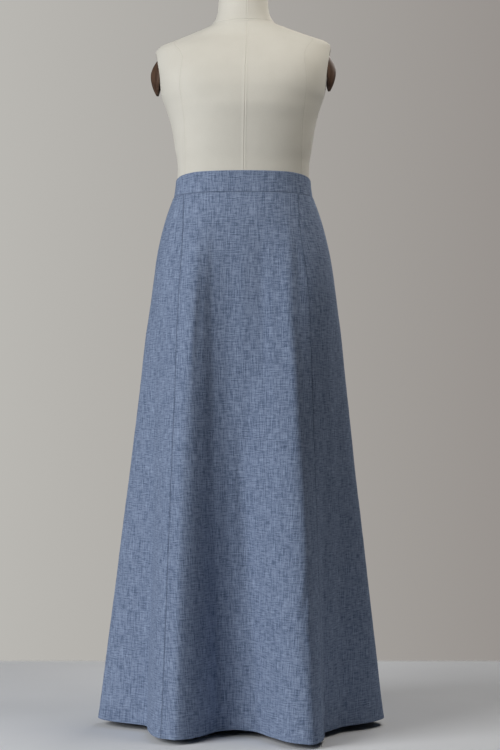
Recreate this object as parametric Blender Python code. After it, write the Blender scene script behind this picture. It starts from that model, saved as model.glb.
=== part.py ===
"""A long flared skirt of six gores and a waistband, hanging on a limbless dress form.

Metres, +Z up. The origin is on the floor under the stand's pole. The front faces -Y.
A bearing is an angle about the pole: 0 is the front, 90 is the wearer's left (+X),
180 the back. The skirt is worked out from the level sections of the cloth over the
hips, and from a table of the folds that it falls into. Each point of the cloth runs
straight from the hips down to the hem. Every panel is a closed wall of its own.
"""

import math

import bmesh
import bpy
import numpy as np
from mathutils import Matrix, Vector

# Cloth and seams
CLOTH = 0.0015
BAND_CLOTH = 0.0024
HEM_TURN_UP = 0.012
HEM_EXTRA = 0.0010
SEAM_GAP = 0.0003
BAND_EASE = 0.0005

# Heights of the waistband's edges, by bearing away from the front
BAND_EDGES = (
    # bearing, seam height, top height
    (0, 1.0013, 1.0408),
    (45, 1.0010, 1.0405),
    (65, 1.0000, 1.0375),
    (80, 0.9980, 1.0322),
    (90, 0.9970, 1.0285),
    (135, 0.9970, 1.0293),
    (180, 0.9970, 1.0298),
)

# Level sections of the cloth, outside, where it lies over the hips
CLOTH_SECTIONS = (
    # height, half width, depth in front, depth behind, squareness
    (0.740, 0.1750, 0.1300, 0.1480, 2.10),
    (0.800, 0.1720, 0.1290, 0.1470, 2.12),
    (0.844, 0.1690, 0.1270, 0.1440, 2.15),
    (0.882, 0.1645, 0.1230, 0.1390, 2.18),
    (0.920, 0.1570, 0.1170, 0.1300, 2.22),
    (0.958, 0.1470, 0.1090, 0.1170, 2.26),
    (1.001, 0.1318, 0.0977, 0.0970, 2.30),
)

# Folds: bearing of the same thread at the waist, the hips and the hem, then how far it
# stands off at the hips, the hem's distance from the pole and its height above the floor
FOLDS = (
    # name, at waist, at hips, at hem, hip lift, reach, hem height
    ("back valley", -182, -181, -178, -0.004, 0.150, 0.0125),
    ("right back crest", -134, -140, -149, 0.016, 0.256, 0.0100),
    ("right back seam", -120, -129, -139, 0.010, 0.248, 0.0100),
    ("right back valley", -104, -110, -115, -0.002, 0.206, 0.0120),
    ("right side seam", -90, -90, -90, 0.000, 0.2755, 0.0130),
    ("right side valley", -77, -71, -65, 0.001, 0.199, 0.0115),
    ("right side flank", -70, -61, -53, 0.003, 0.218, 0.0105),
    ("right front seam", -62, -48.2, -36.0, 0.008, 0.2515, 0.0100),
    ("right front crest", -55, -43, -30.0, 0.015, 0.2510, 0.0100),
    ("right front edge", -45, -36.5, -24.5, 0.023, 0.2230, 0.0102),
    ("right front flank", -35, -30, -21.6, 0.0145, 0.1850, 0.0106),
    ("right front foot", -25, -24, -18.2, 0.001, 0.1460, 0.0112),
    ("front valley", -12, -12, -5.9, -0.005, 0.1305, 0.0125),
    ("left front foot", 0, 0, 8, -0.004, 0.1475, 0.0118),
    ("left front flank", 14, 13.5, 14.3, 0.0005, 0.2000, 0.0108),
    ("left front rise", 26.5, 24.3, 18.7, 0.0095, 0.2560, 0.0100),
    ("left front crest", 37, 31.3, 25.6, 0.020, 0.2840, 0.0092),
    ("left front turn", 47, 38.5, 32.3, 0.022, 0.2640, 0.0095),
    ("left front seam", 56.5, 44.6, 38, 0.0228, 0.2365, 0.0100),
    ("left side flank", 64, 56, 45.6, 0.0200, 0.2083, 0.0105),
    ("left side valley", 75, 70, 61, 0.0120, 0.2045, 0.0115),
    ("left side seam", 90, 90, 90, 0.001, 0.2668, 0.0130),
    ("left back valley", 106, 112, 117, -0.002, 0.202, 0.0120),
    ("left back seam", 120, 129, 141, 0.010, 0.251, 0.0100),
    ("left back crest", 131, 139, 151, 0.016, 0.262, 0.0098),
)
LIFT_FROM = 0.985
LIFT_FULL_AT = 0.790
FOLDS_BEGIN = 0.860
FOLDS_EASE_IN = 0.06
FOLDS_FLARE = 1.05
HIP_EASE = 4

# Gathers drawn up by the elastic in the back waistband
GATHERS = 18
STEPS_PER_GATHER = 4
GATHER_DEPTH = 0.0050
GATHER_DEPTH_BAND = 0.0016
GATHER_AT_SEAM = 0.5
GATHER_FULL_AT = 0.018
GATHER_FALL = 0.050
GATHER_UNEVEN = 0.28
GATHER_FALL_UNEVEN = 0.45

# How far down the cloth the rows of a panel lie, as shares of its length
GATHERED_ROWS = (0, 0.012, 0.032, 0.060, 0.096, 0.140)
PLAIN_TOP_ROWS = (0, 0.032, 0.075, 0.130)
LOWER_ROWS = (0.19, 0.26, 0.36, 0.50, 0.66, 0.82)

# Panels: from one seam's bearing at the waist to the next, and columns across
FRONT_PANELS = (
    # name, from, to, columns
    ("side_front_right", -90, -62, 12),
    ("front_panel", -62, 56.5, 26),
    ("side_front_left", 56.5, 90, 12),
)
BACK_PANELS = (
    # name, from, to, gathers across, whether the plain lower cloth keeps every column
    ("side_back_left", 90, 120, 3, True),
    ("back_panel", 120, 240, 12, False),
    ("side_back_right", 240, 270, 3, True),
)

HEM_SAMPLES = 400
SHARP_ANGLE = math.radians(40)

# The dress form's level sections
FORM_SECTIONS = (
    # height, half width, depth in front, depth behind, squareness
    (0.700, 0.146, 0.101, 0.112, 2.10),
    (0.740, 0.157, 0.110, 0.124, 2.10),
    (0.800, 0.163, 0.116, 0.131, 2.10),
    (0.850, 0.160, 0.116, 0.129, 2.12),
    (0.900, 0.151, 0.109, 0.118, 2.18),
    (0.950, 0.1385, 0.101, 0.105, 2.25),
    (0.990, 0.1302, 0.0958, 0.0952, 2.30),
    (1.030, 0.1250, 0.0925, 0.0915, 2.30),
    (1.055, 0.1246, 0.0935, 0.0925, 2.30),
    (1.093, 0.1300, 0.1000, 0.0970, 2.30),
    (1.131, 0.1360, 0.1080, 0.1020, 2.30),
    (1.169, 0.1465, 0.1155, 0.1070, 2.35),
    (1.192, 0.1545, 0.1150, 0.1090, 2.50),
    (1.230, 0.1600, 0.1060, 0.1090, 2.80),
    (1.262, 0.1655, 0.0880, 0.1000, 2.60),
    (1.279, 0.1660, 0.0745, 0.0920, 2.40),
    (1.289, 0.1590, 0.0650, 0.0850, 2.25),
    (1.297, 0.1400, 0.0570, 0.0780, 2.10),
    (1.3075, 0.1120, 0.0500, 0.0720, 2.00),
    (1.319, 0.0820, 0.0460, 0.0660, 2.00),
    (1.330, 0.0590, 0.0440, 0.0610, 2.00),
    (1.353, 0.0480, 0.0440, 0.0560, 2.00),
    (1.390, 0.0455, 0.0445, 0.0530, 2.00),
)
FORM_COLUMNS = 40
FORM_BETWEEN_ROWS = (0.970, 1.010, 1.074, 1.112, 1.211, 1.246, 1.341)
SHOULDER_TILT = 0.03
TILT_BEGINS = (1.10, 1.25)
TILT_ENDS = (1.32, 1.38)

# Arm plates, set in shallow oval recesses at the shoulders
PLATE_HEIGHT = 0.078
PLATE_DEPTH = 0.066
PLATE_DOME = 0.0165
PLATE_DOME_STEPS = (
    # share of the radius, share of the dome's height
    (1.00, 0.00),
    (0.76, 0.40),
    (0.50, 0.72),
    (0.26, 0.92),
    (0.08, 1.00),
)
PLATE_SIDES = 24
PLATE_THICKNESS = 0.004
PLATE_PLACE = (0.1550, -0.002, 1.2355)
PLATE_TILT = math.radians(9)
RECESS_DEPTH = 0.006
RECESS_GAP = 0.0008

# Neck cap
CAP_THICKNESS = 0.006
CAP_RIM = 0.97
CAP_SIDES = 32

# Stand
POLE_RADIUS = 0.0125
POLE_SIDES = 24
BASE_REACH = 0.190
BASE_BAR_WIDTH = 0.036
BASE_THICKNESS = 0.012
BASE_BEARINGS = (36, 144, 216, 324)
BASE_CORNER = 0.006

# Finishes: colour, roughness, metallic
LINEN_FINISH = ((0.135, 0.185, 0.290), 0.85, 0.0)
COVER_FINISH = ((0.660, 0.640, 0.580), 0.90, 0.0)
WOOD_FINISH = ((0.160, 0.090, 0.065), 0.45, 0.0)
STEEL_FINISH = ((0.060, 0.060, 0.062), 0.40, 0.6)


def curve_slopes(x, y):
    """Slopes of a smooth curve through the points that never overshoots them."""
    step = np.diff(x)
    rise = np.diff(y) / step
    slopes = np.zeros(len(x))
    slopes[0], slopes[-1] = rise[0], rise[-1]
    for i in range(1, len(x) - 1):
        before, after = rise[i - 1], rise[i]
        if before * after > 0:
            w_before = 2 * step[i] + step[i - 1]
            w_after = step[i] + 2 * step[i - 1]
            slopes[i] = (w_before + w_after) / (w_before / before + w_after / after)
    return slopes


def read_curve(x, y, at):
    """Reads the smooth curve through (x, y) at the given places."""
    x, y, at = np.asarray(x, float), np.asarray(y, float), np.asarray(at, float)
    slopes = curve_slopes(x, y)
    at = np.clip(at, x[0], x[-1])
    i = np.clip(np.searchsorted(x, at, side="right") - 1, 0, len(x) - 2)
    width = x[i + 1] - x[i]
    t = (at - x[i]) / width
    return (
        y[i] * (1 + 2 * t) * (1 - t) ** 2
        + y[i + 1] * t * t * (3 - 2 * t)
        + slopes[i] * width * t * (1 - t) ** 2
        - slopes[i + 1] * width * t * t * (1 - t)
    )


def section(table, height):
    """Half width, front depth, back depth and squareness of a section table at a height."""
    columns = np.array(table, float).T
    return [read_curve(columns[0], column, height) for column in columns[1:]]


def ring_radius(bearing, half_width, front, back, squareness):
    """Distance from the pole to a rounded section, at a bearing in degrees."""
    across, along = np.sin(np.radians(bearing)), np.cos(np.radians(bearing))
    depth = np.where(along > 0, front, back)
    return (
        np.abs(across / half_width) ** squareness + np.abs(along / depth) ** squareness
    ) ** (-1 / squareness)


def at_bearing(radius, bearing, height):
    """Points at a distance from the pole, a bearing in degrees and a height."""
    a = np.radians(bearing)
    return np.stack([radius * np.sin(a), -radius * np.cos(a), height + 0 * a], -1)


def read_folds(column, waist_bearing):
    """Reads a named column of the table of folds at a bearing at the waist, right round."""
    index = ("at waist", "at hips", "at hem", "hip lift", "reach", "hem height").index(column)
    full_turn = np.array([360, 360, 360, 0, 0, 0])
    rows = np.array([row[1:] for row in FOLDS], float)
    rows = np.vstack([rows[-1:] - full_turn, rows, rows[:3] + full_turn])
    wrapped = (np.asarray(waist_bearing, float) + 180) % 360 - 180
    turns = (np.asarray(waist_bearing, float) - wrapped) / 360
    return read_curve(rows[:, 0], rows[:, index], wrapped) + full_turn[index] * turns


def away_from_front(waist_bearing):
    """The bearing folded on to 0 at the front to 180 at the back."""
    return np.abs((np.asarray(waist_bearing, float) + 180) % 360 - 180)


def seam_height(waist_bearing):
    rows = np.array(BAND_EDGES, float)
    return read_curve(rows[:, 0], rows[:, 1], away_from_front(waist_bearing))


def top_height(waist_bearing):
    rows = np.array(BAND_EDGES, float)
    return read_curve(rows[:, 0], rows[:, 2], away_from_front(waist_bearing))


def smooth_step(value, low, high):
    t = np.clip((value - low) / (high - low), 0, 1)
    return t * t * (3 - 2 * t)


def gather(waist_bearing, depth):
    """How far the gathers of the back stand out where they are full, at a bearing."""
    shown = smooth_step(away_from_front(waist_bearing), 90, 97)
    beat = 2 * math.pi * GATHERS * ((np.asarray(waist_bearing, float) - 90) % 360) / 180
    uneven = 1 - GATHER_UNEVEN * (1 + np.sin(0.85 * beat + 0.8) * np.sin(0.31 * beat + 2.1))
    return depth * uneven * shown * (1 - np.cos(beat)) / 2


def gather_on_cloth(waist_bearing, drop):
    """The gathers at a drop below the seam: held at the band, full just below, then fading."""
    beat = 2 * math.pi * GATHERS * ((np.asarray(waist_bearing, float) - 90) % 360) / 180
    fall = GATHER_FALL * (1 + GATHER_FALL_UNEVEN * np.sin(0.43 * beat + 1.3))
    held = GATHER_AT_SEAM + (1 - GATHER_AT_SEAM) * smooth_step(drop, 0, GATHER_FULL_AT)
    return gather(waist_bearing, GATHER_DEPTH) * held * np.exp(-drop / fall)


def cloth_point(waist_bearing, share):
    """A point of the skirt's outside, by its thread's bearing at the waist and its share
    of the way from the waistband's seam (0) to the hem (1)."""
    u, share = np.broadcast_arrays(np.asarray(waist_bearing, float), share)
    seam, hem = seam_height(u), read_folds("hem height", u)
    height = seam + (hem - seam) * share
    hip_height = CLOTH_SECTIONS[0][0]
    hip_bearing = read_folds("at hips", u)
    above_hips = np.clip((height - hip_height) / (seam - hip_height), 0, 1)
    bearing = hip_bearing + (u - hip_bearing) * above_hips**HIP_EASE
    sizes = section(CLOTH_SECTIONS, np.maximum(height, hip_height))
    lift = read_folds("hip lift", u)
    lifted = lift * (1 - smooth_step(height, LIFT_FULL_AT, LIFT_FROM))
    radius = ring_radius(bearing, *sizes) + gather_on_cloth(u, seam - height) + lifted
    on_body = at_bearing(radius, bearing, height)
    hip_ring = ring_radius(hip_bearing, *section(CLOTH_SECTIONS, hip_height)) + lift
    at_hip = at_bearing(hip_ring, hip_bearing, height)
    at_hem = at_bearing(read_folds("reach", u), read_folds("at hem", u), height)
    fallen = np.clip((FOLDS_BEGIN - height) / (FOLDS_BEGIN - hem), 0, 1)
    run = ((1 + FOLDS_EASE_IN) * fallen**2 / (fallen + FOLDS_EASE_IN)) ** FOLDS_FLARE
    return on_body + run[..., None] * (at_hem - at_hip)


def band_point(waist_bearing, share):
    """A point of the waistband's outside, from its seam (0) to its top edge (1)."""
    u, share = np.broadcast_arrays(np.asarray(waist_bearing, float), share)
    height = seam_height(u) + (top_height(u) - seam_height(u)) * share
    half_width, front, back, squareness = section(FORM_SECTIONS, height)
    grown = BAND_EASE + BAND_CLOTH
    radius = ring_radius(u, half_width + grown, front + grown, back + grown, squareness)
    return at_bearing(radius + gather(u, GATHER_DEPTH_BAND), u, height)


def directions(surface, u, share):
    """Unit directions out of the cloth and along it, by small steps on the surface."""
    step_u, step_share = 0.02, 0.0005
    along = surface(u + step_u, share) - surface(u - step_u, share)
    down = surface(u, share + step_share) - surface(u, share - step_share)
    out = np.cross(down, along)
    centre_out = surface(u, share) * [1, 1, 0]
    out *= np.sign((out * centre_out).sum(-1))[..., None]
    along /= np.linalg.norm(along, axis=-1)[..., None]
    return out / np.linalg.norm(out, axis=-1)[..., None], along


def wall_rows(surface, columns, shares, thickness, ends_inset):
    """Outer and inner points of a wall, a list of rows each, seam edges drawn in."""
    outer, inner = [], []
    for share, thick in zip(shares, thickness):
        u = np.asarray(columns(share), float)
        points = surface(u, np.full(u.shape, share))
        out, along = directions(surface, u, np.full(u.shape, share))
        points[0] += along[0] * ends_inset
        points[-1] -= along[-1] * ends_inset
        outer.append(points)
        inner.append(points - out * thick)
    return outer, inner


def bridge(mesh, upper, lower):
    """Joins two rows of vertices. The lower row may have half the steps of the upper."""
    if len(upper) == len(lower):
        for i in range(len(upper) - 1):
            mesh.faces.new((upper[i], upper[i + 1], lower[i + 1], lower[i]))
        return
    for i in range(len(lower) - 1):
        left, middle, right = upper[2 * i : 2 * i + 3]
        mesh.faces.new((left, middle, lower[i]))
        mesh.faces.new((middle, lower[i + 1], lower[i]))
        mesh.faces.new((middle, right, lower[i + 1]))


def add_object(name, mesh, material):
    """Finishes a bmesh as a smooth-shaded object with one material."""
    bmesh.ops.recalc_face_normals(mesh, faces=mesh.faces)
    data = bpy.data.meshes.new(name)
    mesh.to_mesh(data)
    mesh.free()
    data.materials.append(material)
    data.shade_smooth()
    data.set_sharp_from_angle(angle=SHARP_ANGLE)
    made = bpy.data.objects.new(name, data)
    bpy.context.scene.collection.objects.link(made)
    return made


def add_wall(name, outer, inner, material):
    """A closed wall from its outer and inner rows of points."""
    mesh = bmesh.new()
    sides = []
    for rows in (outer, inner):
        sides.append([[mesh.verts.new(p) for p in row] for row in rows])
    for rows in sides:
        for upper, lower in zip(rows[:-1], rows[1:]):
            bridge(mesh, upper, lower)
    out, inn = sides
    for end in (0, -1):
        for k in range(len(out) - 1):
            mesh.faces.new((out[k][end], out[k + 1][end], inn[k + 1][end], inn[k][end]))
        bridge(mesh, out[end], inn[end])
    return add_object(name, mesh, material)


def material(name, finish):
    colour, roughness, metallic = finish
    made = bpy.data.materials.new(name)
    made.use_nodes = True
    shader = made.node_tree.nodes["Principled BSDF"]
    shader.inputs["Base Color"].default_value = (*colour, 1)
    shader.inputs["Roughness"].default_value = roughness
    shader.inputs["Metallic"].default_value = metallic
    return made


def even_at_hem(start, end, count):
    """Bearings at the waist whose threads are evenly spaced along the hem."""
    fine = np.linspace(start, end, HEM_SAMPLES)
    points = cloth_point(fine, 1.0)
    run = np.concatenate([[0], np.cumsum(np.linalg.norm(np.diff(points, axis=0), axis=1))])
    return np.interp(np.linspace(0, run[-1], count + 1), run, fine)


def panel_shares(top_rows):
    """Rows of a panel, with two at the top of the turned-up hem, and the wall at each."""
    length = seam_height(0) - read_folds("hem height", 0)
    inset = SEAM_GAP / 2 / length
    hem_top = 1 - HEM_TURN_UP / length
    ramp = 2 * HEM_EXTRA / length
    shares = [inset, *top_rows[1:], *LOWER_ROWS, hem_top - ramp, hem_top, 1]
    thickness = [CLOTH] * (len(shares) - 2) + [CLOTH + HEM_EXTRA] * 2
    return shares, thickness


def add_front_panel(name, start, end, count, linen):
    columns = even_at_hem(start, end, count)
    shares, thickness = panel_shares(PLAIN_TOP_ROWS)
    rows = wall_rows(cloth_point, lambda share: columns, shares, thickness, SEAM_GAP / 2)
    add_wall(name, *rows, linen)


def add_back_panel(name, start, end, gathers, keep_columns, linen):
    fine = np.linspace(start, end, gathers * STEPS_PER_GATHER + 1)
    shares, thickness = panel_shares(GATHERED_ROWS)

    def columns(share):
        return fine if keep_columns or share < LOWER_ROWS[0] else fine[::2]

    rows = wall_rows(cloth_point, columns, shares, thickness, SEAM_GAP / 2)
    add_wall(name, *rows, linen)


def add_waistbands(linen):
    """The flat front band and the elasticated back band, a seam gap above the panels."""
    in_front = np.concatenate(
        [even_at_hem(start, end, count)[:-1] for _, start, end, count in FRONT_PANELS] + [[90]]
    )
    behind = np.linspace(90, 270, GATHERS * STEPS_PER_GATHER + 1)
    inset = SEAM_GAP / 2 / (BAND_EDGES[0][2] - BAND_EDGES[0][1])
    shares = (inset, 1)
    for name, columns in (("waistband_front", in_front), ("waistband_back", behind)):
        rows = wall_rows(
            band_point, lambda share: columns, shares, [BAND_CLOTH] * 2, SEAM_GAP / 2
        )
        add_wall(name, *rows, linen)


def add_turned(name, profile, sides, finish, stretch=(1, 1)):
    """A solid turned about Z from (radius, height) points, bottom to top."""
    mesh = bmesh.new()
    angles = [2 * math.pi * i / sides for i in range(sides)]
    rings = [
        [mesh.verts.new((r * stretch[0] * math.cos(a), r * stretch[1] * math.sin(a), z)) for a in angles]
        for r, z in profile
    ]
    for lower, upper in zip(rings[:-1], rings[1:]):
        for i in range(sides):
            j = (i + 1) % sides
            mesh.faces.new((lower[i], lower[j], upper[j], upper[i]))
    mesh.faces.new(rings[0][::-1])
    mesh.faces.new(rings[-1])
    return add_object(name, mesh, finish)


def shoulder_rise(x, height):
    """The form's left shoulder stands a little higher than its right one."""
    tilt = smooth_step(height, *TILT_BEGINS) * (1 - smooth_step(height, *TILT_ENDS))
    return SHOULDER_TILT * tilt * x


def form_ring(height, count):
    bearings = np.linspace(0, 360, count, endpoint=False)
    radius = ring_radius(bearings, *section(FORM_SECTIONS, height))
    ring = at_bearing(radius, bearings, height)
    ring[:, 2] += shoulder_rise(ring[:, 0], height)
    return ring


def add_form_body(cover):
    """The cloth-covered body and neck, flat underneath and at the top of the neck."""
    heights = sorted([row[0] for row in FORM_SECTIONS] + list(FORM_BETWEEN_ROWS))
    mesh = bmesh.new()
    rings = [[mesh.verts.new(p) for p in form_ring(h, FORM_COLUMNS)] for h in heights]
    for lower, upper in zip(rings[:-1], rings[1:]):
        for i in range(FORM_COLUMNS):
            j = (i + 1) % FORM_COLUMNS
            mesh.faces.new((lower[i], lower[j], upper[j], upper[i]))
    mesh.faces.new(rings[0][::-1])
    mesh.faces.new(rings[-1])
    return add_object("form_body", mesh, cover)


def plate_profile():
    """Radius and height of a domed plate, on a unit radius, from its flat back outwards."""
    return [(1, 0)] + [(r, PLATE_THICKNESS + PLATE_DOME * rise) for r, rise in PLATE_DOME_STEPS]


def add_arm_plates(body, wood):
    """An oval domed plate on each side, in a recess cut in the form's body."""
    for side, name in ((1, "left"), (-1, "right")):
        x, y, z = side * PLATE_PLACE[0], PLATE_PLACE[1], PLATE_PLACE[2]
        turn = Matrix.Rotation(side * (math.pi / 2 - PLATE_TILT), 4, "Y")
        place = Matrix.Translation(Vector((x, y, z + SHOULDER_TILT * x))) @ turn
        plate = add_turned(
            f"arm_plate_{name}", plate_profile(), PLATE_SIDES, wood, (PLATE_HEIGHT / 2, PLATE_DEPTH / 2)
        )
        plate.matrix_world = place
        cutter = add_turned(
            f"recess_{name}",
            [(1, -SEAM_GAP), (1, PLATE_THICKNESS + RECESS_DEPTH + PLATE_DOME)],
            PLATE_SIDES,
            wood,
            (PLATE_HEIGHT / 2 + RECESS_GAP, PLATE_DEPTH / 2 + RECESS_GAP),
        )
        cutter.matrix_world = place
        cutter.hide_render = True
        cutter.display_type = "WIRE"
        cut = body.modifiers.new(f"recess {name}", "BOOLEAN")
        cut.object = cutter
        cut.operation = "DIFFERENCE"
        cut.solver = "EXACT"


def add_neck_cap(wood):
    """A flat oval cap on the top of the neck."""
    height, half_width, front, back, _ = FORM_SECTIONS[-1]
    edge = CAP_THICKNESS / 4
    rim = [(CAP_RIM, 0), (1, edge), (1, CAP_THICKNESS - edge), (CAP_RIM, CAP_THICKNESS)]
    cap = add_turned("neck_cap", rim, CAP_SIDES, wood, (half_width, (front + back) / 2))
    cap.location = (0, (back - front) / 2, height + SEAM_GAP)


def base_outline():
    """Corners of the flat cross, right round, from one bar to the next."""
    half = BASE_BAR_WIDTH / 2
    bars = [math.radians(bearing - 90) for bearing in BASE_BEARINGS]
    outline = []
    for i, bar in enumerate(bars):
        along = Vector((math.cos(bar), math.sin(bar)))
        across = Vector((-along.y, along.x))
        for reach, side in (
            (BASE_REACH - BASE_CORNER, -half),
            (BASE_REACH, -half + BASE_CORNER),
            (BASE_REACH, half - BASE_CORNER),
            (BASE_REACH - BASE_CORNER, half),
        ):
            outline.append(along * reach + across * side)
        opening = (bars[(i + 1) % len(bars)] - bar) % (2 * math.pi)
        middle = bar + opening / 2
        crotch = half / math.sin(opening / 2)
        outline.append(Vector((math.cos(middle), math.sin(middle))) * crotch)
    return outline


def add_stand(steel):
    """A flat cross that lies on the floor, its bars between the folds, and the pole."""
    mesh = bmesh.new()
    bottom = mesh.faces.new([mesh.verts.new((*corner, 0)) for corner in base_outline()])
    top = bmesh.ops.extrude_face_region(mesh, geom=[bottom])
    lifted = [v for v in top["geom"] if isinstance(v, bmesh.types.BMVert)]
    bmesh.ops.translate(mesh, verts=lifted, vec=(0, 0, BASE_THICKNESS))
    add_object("stand_base", mesh, steel)
    foot = BASE_THICKNESS + SEAM_GAP
    pole_top = FORM_SECTIONS[0][0] - SEAM_GAP
    add_turned("stand_pole", [(POLE_RADIUS, foot), (POLE_RADIUS, pole_top)], POLE_SIDES, steel)


def main():
    for old in list(bpy.data.objects):
        bpy.data.objects.remove(old)
    linen = material("linen", LINEN_FINISH)
    cover = material("form cover", COVER_FINISH)
    wood = material("arm plate wood", WOOD_FINISH)
    steel = material("stand steel", STEEL_FINISH)
    for name, start, end, count in FRONT_PANELS:
        add_front_panel(name, start, end, count, linen)
    for name, start, end, gathers, keep_columns in BACK_PANELS:
        add_back_panel(name, start, end, gathers, keep_columns, linen)
    add_waistbands(linen)
    body = add_form_body(cover)
    add_arm_plates(body, wood)
    add_neck_cap(wood)
    add_stand(steel)


main()
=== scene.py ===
"""Looks of a long flared linen skirt on a limbless dress form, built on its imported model.

Metres, +Z up, and the front faces -Y. A thread of the skirt is named by its bearing at
the waist, 0 in front and 90 on the wearer's left. A place on it is its share of the way
from the waistband's seam (0) to the hem (1).
"""

import math

import bpy
import numpy as np
from mathutils import Matrix, Vector, noise


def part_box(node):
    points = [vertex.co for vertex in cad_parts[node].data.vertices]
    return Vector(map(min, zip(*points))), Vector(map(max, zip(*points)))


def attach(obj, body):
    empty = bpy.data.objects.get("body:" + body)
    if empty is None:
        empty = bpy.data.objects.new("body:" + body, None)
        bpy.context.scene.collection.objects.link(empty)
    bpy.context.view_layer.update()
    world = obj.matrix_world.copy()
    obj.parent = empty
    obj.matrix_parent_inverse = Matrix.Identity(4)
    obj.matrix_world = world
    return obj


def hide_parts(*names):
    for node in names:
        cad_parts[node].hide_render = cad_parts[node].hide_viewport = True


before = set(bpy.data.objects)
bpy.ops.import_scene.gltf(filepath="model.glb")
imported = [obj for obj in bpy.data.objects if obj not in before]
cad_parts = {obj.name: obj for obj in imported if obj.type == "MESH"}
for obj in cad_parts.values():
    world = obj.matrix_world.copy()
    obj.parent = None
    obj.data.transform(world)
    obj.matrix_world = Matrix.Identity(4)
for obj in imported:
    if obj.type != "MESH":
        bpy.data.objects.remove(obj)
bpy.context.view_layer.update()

# Heights of the waistband's edges, by bearing away from the front
BAND_EDGES = (
    # bearing, seam height, top height
    (0, 1.0013, 1.0408),
    (45, 1.0010, 1.0405),
    (65, 1.0000, 1.0375),
    (80, 0.9980, 1.0322),
    (90, 0.9970, 1.0285),
    (135, 0.9970, 1.0293),
    (180, 0.9970, 1.0298),
)

# Level sections of the cloth, outside, where it lies over the hips
CLOTH_SECTIONS = (
    # height, half width, depth in front, depth behind, squareness
    (0.740, 0.1750, 0.1300, 0.1480, 2.10),
    (0.800, 0.1720, 0.1290, 0.1470, 2.12),
    (0.844, 0.1690, 0.1270, 0.1440, 2.15),
    (0.882, 0.1645, 0.1230, 0.1390, 2.18),
    (0.920, 0.1570, 0.1170, 0.1300, 2.22),
    (0.958, 0.1470, 0.1090, 0.1170, 2.26),
    (1.001, 0.1318, 0.0977, 0.0970, 2.30),
)

# Folds: bearing of the same thread at the waist, the hips and the hem, then how far it
# stands off at the hips, the hem's distance from the pole and its height above the floor
FOLDS = (
    # name, at waist, at hips, at hem, hip lift, reach, hem height
    ("back valley", -182, -181, -178, -0.004, 0.150, 0.0125),
    ("right back crest", -134, -140, -149, 0.016, 0.256, 0.0100),
    ("right back seam", -120, -129, -139, 0.010, 0.248, 0.0100),
    ("right back valley", -104, -110, -115, -0.002, 0.206, 0.0120),
    ("right side seam", -90, -90, -90, 0.000, 0.2755, 0.0130),
    ("right side valley", -77, -71, -65, 0.001, 0.199, 0.0115),
    ("right side flank", -70, -61, -53, 0.003, 0.218, 0.0105),
    ("right front seam", -62, -48.2, -36.0, 0.008, 0.2515, 0.0100),
    ("right front crest", -55, -43, -30.0, 0.015, 0.2510, 0.0100),
    ("right front edge", -45, -36.5, -24.5, 0.023, 0.2230, 0.0102),
    ("right front flank", -35, -30, -21.6, 0.0145, 0.1850, 0.0106),
    ("right front foot", -25, -24, -18.2, 0.001, 0.1460, 0.0112),
    ("front valley", -12, -12, -5.9, -0.005, 0.1305, 0.0125),
    ("left front foot", 0, 0, 8, -0.004, 0.1475, 0.0118),
    ("left front flank", 14, 13.5, 14.3, 0.0005, 0.2000, 0.0108),
    ("left front rise", 26.5, 24.3, 18.7, 0.0095, 0.2560, 0.0100),
    ("left front crest", 37, 31.3, 25.6, 0.020, 0.2840, 0.0092),
    ("left front turn", 47, 38.5, 32.3, 0.022, 0.2640, 0.0095),
    ("left front seam", 56.5, 44.6, 38, 0.0228, 0.2365, 0.0100),
    ("left side flank", 64, 56, 45.6, 0.0200, 0.2083, 0.0105),
    ("left side valley", 75, 70, 61, 0.0120, 0.2045, 0.0115),
    ("left side seam", 90, 90, 90, 0.001, 0.2668, 0.0130),
    ("left back valley", 106, 112, 117, -0.002, 0.202, 0.0120),
    ("left back seam", 120, 129, 141, 0.010, 0.251, 0.0100),
    ("left back crest", 131, 139, 151, 0.016, 0.262, 0.0098),
)
LIFT_FROM = 0.985
LIFT_FULL_AT = 0.790
FOLDS_BEGIN = 0.860
FOLDS_EASE_IN = 0.06
FOLDS_FLARE = 1.05
HIP_EASE = 4

# Gathers drawn up by the elastic in the back waistband
GATHERS = 18
GATHER_DEPTH = 0.0050
GATHER_DEPTH_BAND = 0.0016
GATHER_AT_SEAM = 0.5
GATHER_FULL_AT = 0.018
GATHER_FALL = 0.050
GATHER_UNEVEN = 0.28
GATHER_FALL_UNEVEN = 0.45
GATHERS_BEGIN = (90, 97)
RUCHING_DEPTH = 0.0006
RUCHING_FALL = 0.028
RUCHING_BEGINS = (91, 99)
RUCHES_PER_GATHER = 2.6

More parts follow.
